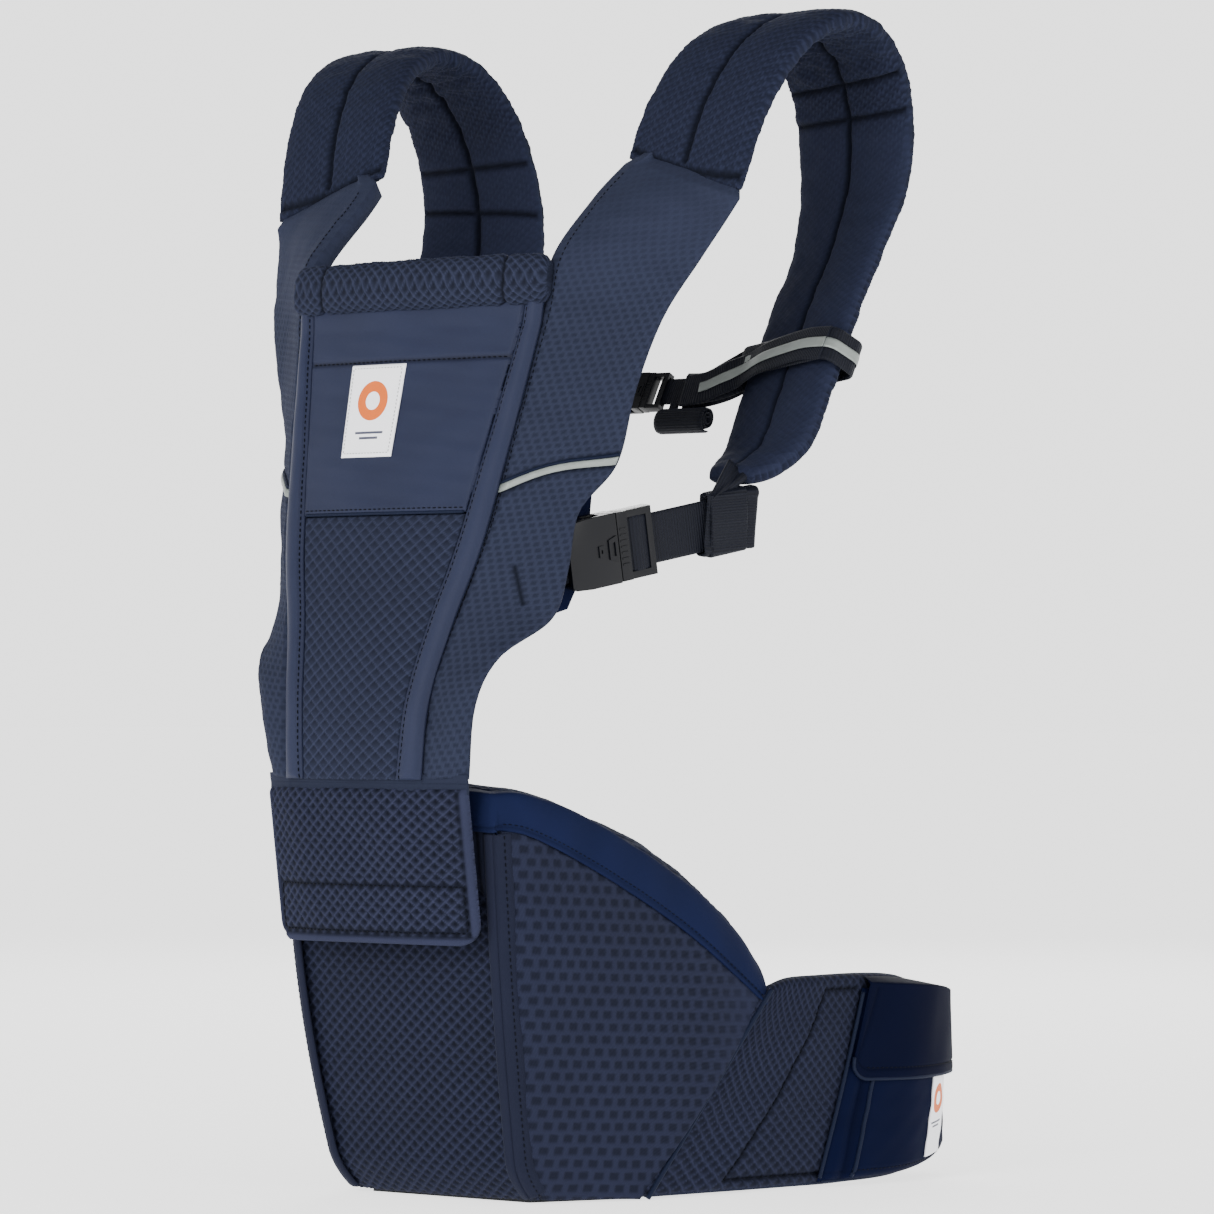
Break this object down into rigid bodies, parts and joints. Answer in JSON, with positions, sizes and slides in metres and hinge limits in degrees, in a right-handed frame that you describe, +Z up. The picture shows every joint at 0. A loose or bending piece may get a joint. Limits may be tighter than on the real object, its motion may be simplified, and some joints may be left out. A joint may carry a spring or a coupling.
{
  "type": "soft baby carrier",
  "caption": "Soft baby carrier with a foam hip seat, waist belt with pouch, mesh front panel, winged sides and padded shoulder straps closed by side-release buckles.",
  "frame": {"origin": "centre of the hip seat's underside, on the floor plane and on the carrier's plane of symmetry", "axes": "+Z up, -Y out of the front panel away from the wearer, +X the wearer's left, where the pouch is"},
  "size_m": [0.4366, 0.4799, 0.7535],
  "materials": {
    "mesh_fabric": "navy embossed spacer mesh",
    "plain_fabric": "smooth plain navy weave",
    "webbing": "ribbed navy-black webbing",
    "label": "woven white label",
    "reflective": "grey reflective piping",
    "black_plastic": "satin black moulded plastic",
    "foam": "moulded foam block"
  },
  "bodies": {
    "seat_and_belt": {"seat_top_pad": "plain_fabric", "seat_front_cover": "mesh_fabric", "seat_side_cover_left": "mesh_fabric", "seat_side_cover_right": "mesh_fabric", "seat_base_board": "black_plastic", "seat_foam_core": "foam", "belly_pad": "mesh_fabric", "seat_loop_strip": "webbing", "panel_skirt": "mesh_fabric", "belt_arm_left": "mesh_fabric", "belt_arm_right": "mesh_fabric", "waist_tab": "webbing", "waist_buckle_female": "black_plastic", "pouch_body": "plain_fabric", "pouch_label": "label"},
    "waist_strap": {"waist_buckle_male": "black_plastic", "waist_webbing": "webbing"},
    "waist_prong_a": {"waist_buckle_prong_upper": "black_plastic"},
    "waist_prong_b": {"waist_buckle_prong_lower": "black_plastic"},
    "pouch_lid": {"pouch_flap": "plain_fabric"},
    "flap": {"front_flap": "mesh_fabric", "flap_hook_strip": "webbing"},
    "panel": {"front_mesh_panel": "mesh_fabric", "pocket_panel": "plain_fabric", "side_band_left": "plain_fabric", "side_band_right": "plain_fabric", "panel_liner": "plain_fabric", "folded_sun_hood": "plain_fabric", "pocket_label": "label", "head_roll": "mesh_fabric", "wing_left": "mesh_fabric", "wing_right": "mesh_fabric", "wing_lining_left": "plain_fabric", "wing_lining_right": "plain_fabric", "reflective_piping_left": "reflective", "reflective_piping_right": "reflective", "buckle_tab_left": "webbing", "buckle_tab_right": "webbing", "strap_left_buckle_female": "black_plastic", "strap_right_buckle_female": "black_plastic", "strap_pad_left": "mesh_fabric", "strap_pad_right": "mesh_fabric", "webbing_keeper_left": "webbing", "webbing_keeper_right": "webbing"},
    "left_strap": {"strap_left_buckle_male": "black_plastic", "strap_webbing_left": "webbing"},
    "left_prong_a": {"strap_left_buckle_prong_upper": "black_plastic"},
    "left_prong_b": {"strap_left_buckle_prong_lower": "black_plastic"},
    "right_strap": {"strap_right_buckle_male": "black_plastic", "strap_webbing_right": "webbing"},
    "right_prong_a": {"strap_right_buckle_prong_upper": "black_plastic"},
    "right_prong_b": {"strap_right_buckle_prong_lower": "black_plastic"},
    "chest_strap": {"chest_loop_left": "webbing", "chest_loop_right": "webbing", "chest_buckle_female": "black_plastic"},
    "chest_clip": {"chest_buckle_male": "black_plastic", "chest_webbing": "webbing"},
    "chest_prong_a": {"chest_buckle_prong_upper": "black_plastic"},
    "chest_prong_b": {"chest_buckle_prong_lower": "black_plastic"}
  },
  "joints": [
    {"name": "panel_fold", "type": "hinge", "parent": "seat_and_belt", "child": "panel", "pos_m": [0, -0.212, 0.266], "axis": [1, 0, 0], "range_deg": [-8, 60]},
    {"name": "flap_lift", "type": "hinge", "parent": "seat_and_belt", "child": "flap", "pos_m": [0, -0.212, 0.266], "axis": [-1, 0, 0], "range_deg": [0, 60]},
    {"name": "pouch_flap_lift", "type": "hinge", "parent": "seat_and_belt", "child": "pouch_lid", "pos_m": [0.143, 0.134, 0.1385], "axis": [0.3742, -0.9193, 0.122], "range_deg": [0, 60]},
    {"name": "left_strap_release", "type": "slide", "parent": "panel", "child": "left_strap", "axis": [0.3443, 0.9157, 0.2072], "range_m": [0, 0.032]},
    {"name": "right_strap_release", "type": "slide", "parent": "panel", "child": "right_strap", "axis": [-0.3443, 0.9157, 0.2072], "range_m": [0, 0.032]},
    {"name": "waist_release", "type": "slide", "parent": "seat_and_belt", "child": "waist_strap", "axis": [1, 0, 0], "range_m": [0, 0.03]},
    {"name": "chest_strap_height", "type": "slide", "parent": "panel", "child": "chest_strap", "axis": [0, 0.4808, 0.8768], "range_m": [-0.03, 0.03]},
    {"name": "chest_release", "type": "slide", "parent": "chest_strap", "child": "chest_clip", "axis": [1, 0, 0], "range_m": [0, 0.015]},
    {"name": "left_buckle_prong_press", "type": "hinge", "parent": "left_strap", "child": "left_prong_a", "pos_m": [0.12193, -0.09782, 0.42189], "axis": [0.9375, -0.3234, -0.1283], "range_deg": [0, 6], "stiffness_Nm_per_rad": 0.002},
    {"name": "left_buckle_prong_press_lower", "type": "hinge", "parent": "left_strap", "child": "left_prong_b", "pos_m": [0.12079, -0.09244, 0.39999], "axis": [-0.9375, 0.3234, 0.1283], "range_deg": [0, 6], "stiffness_Nm_per_rad": 0.002},
    {"name": "right_buckle_prong_press", "type": "hinge", "parent": "right_strap", "child": "right_prong_a", "pos_m": [-0.12193, -0.09782, 0.42189], "axis": [0.9375, 0.3234, 0.1283], "range_deg": [0, 6], "stiffness_Nm_per_rad": 0.002},
    {"name": "right_buckle_prong_press_lower", "type": "hinge", "parent": "right_strap", "child": "right_prong_b", "pos_m": [-0.12079, -0.09244, 0.39999], "axis": [-0.9375, -0.3234, -0.1283], "range_deg": [0, 6], "stiffness_Nm_per_rad": 0.002},
    {"name": "waist_buckle_prong_press", "type": "hinge", "parent": "waist_strap", "child": "waist_prong_a", "pos_m": [-0.01467, 0.2596, 0.08], "axis": [0, -1, 0], "range_deg": [0, 6], "stiffness_Nm_per_rad": 0.002},
    {"name": "waist_buckle_prong_press_lower", "type": "hinge", "parent": "waist_strap", "child": "waist_prong_b", "pos_m": [-0.01467, 0.2596, 0.054], "axis": [0, 1, 0], "range_deg": [0, 6], "stiffness_Nm_per_rad": 0.002},
    {"name": "chest_buckle_prong_press", "type": "hinge", "parent": "chest_clip", "child": "chest_prong_a", "pos_m": [0.03375, 0.04629, 0.5213], "axis": [0, -0.8768, 0.4808], "range_deg": [0, 6], "stiffness_Nm_per_rad": 0.002},
    {"name": "chest_buckle_prong_press_lower", "type": "hinge", "parent": "chest_clip", "child": "chest_prong_b", "pos_m": [0.03375, 0.03971, 0.5093], "axis": [0, 0.8768, -0.4808], "range_deg": [0, 6], "stiffness_Nm_per_rad": 0.002}
  ],
  "couplings": [
    {"joint": "left_buckle_prong_press_lower", "follows": "left_buckle_prong_press", "ratio": 1},
    {"joint": "right_buckle_prong_press_lower", "follows": "right_buckle_prong_press", "ratio": 1},
    {"joint": "waist_buckle_prong_press_lower", "follows": "waist_buckle_prong_press", "ratio": 1},
    {"joint": "chest_buckle_prong_press_lower", "follows": "chest_buckle_prong_press", "ratio": 1}
  ]
}
